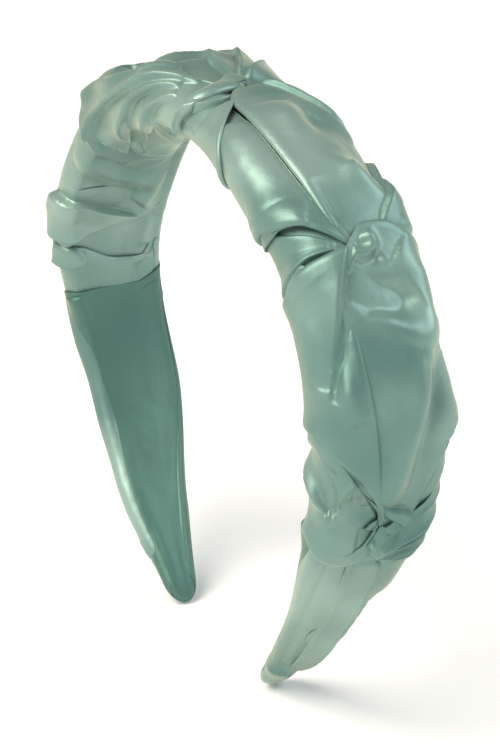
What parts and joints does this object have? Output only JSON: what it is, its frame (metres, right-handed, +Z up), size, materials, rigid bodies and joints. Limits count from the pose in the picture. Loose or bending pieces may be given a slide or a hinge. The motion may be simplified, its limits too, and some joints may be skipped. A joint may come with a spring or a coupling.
{
  "type": "headband",
  "caption": "Wide padded headband of pale green satin, its front and back strips twisted into knots along a stiff arch that springs open over the head.",
  "frame": {"origin": "the head seat: middle of the crown, on the face of the satin that rests on the head", "axes": "+Z up and away from the head, +X to the right leg, +Y to the back edge of the band"},
  "size_m": [0.1539, 0.034, 0.1449],
  "materials": {
    "strip_satin": "shot satin, crisp folds",
    "facing_satin": "smooth satin, glued flat",
    "wadding": "soft matte wadding",
    "core_plastic": "moulded, satin"
  },
  "bodies": {
    "crown": {"core_crown": "core_plastic", "foam_crown": "wadding", "knot_left_high": "strip_satin", "knot_top": "strip_satin", "front_strip_left_crown": "strip_satin", "back_strip_left_crown": "strip_satin", "front_strip_right_crown": "strip_satin", "back_strip_right_crown": "strip_satin"},
    "left_leg": {"core_left_leg": "core_plastic", "foam_left_leg": "wadding", "knot_left_low": "strip_satin", "front_strip_left_temple": "strip_satin", "back_strip_left_temple": "strip_satin", "front_strip_left_end": "strip_satin", "back_strip_left_end": "strip_satin", "facing_left": "facing_satin"},
    "right_leg": {"core_right_leg": "core_plastic", "foam_right_leg": "wadding", "knot_right_high": "strip_satin", "knot_right_low": "strip_satin", "front_strip_right_temple": "strip_satin", "back_strip_right_temple": "strip_satin", "front_strip_right_end": "strip_satin", "back_strip_right_end": "strip_satin", "facing_right": "facing_satin"}
  },
  "joints": [
    {"name": "left_leg_flex", "type": "hinge", "parent": "crown", "child": "left_leg", "pos_m": [-0.04364, 0, -0.01439], "axis": [0, 1, 0], "range_deg": [0, 15], "stiffness_Nm_per_rad": 0.8},
    {"name": "right_leg_flex", "type": "hinge", "parent": "crown", "child": "right_leg", "pos_m": [0.04928, 0, -0.01948], "axis": [0, -1, 0], "range_deg": [0, 15], "stiffness_Nm_per_rad": 0.8}
  ]
}
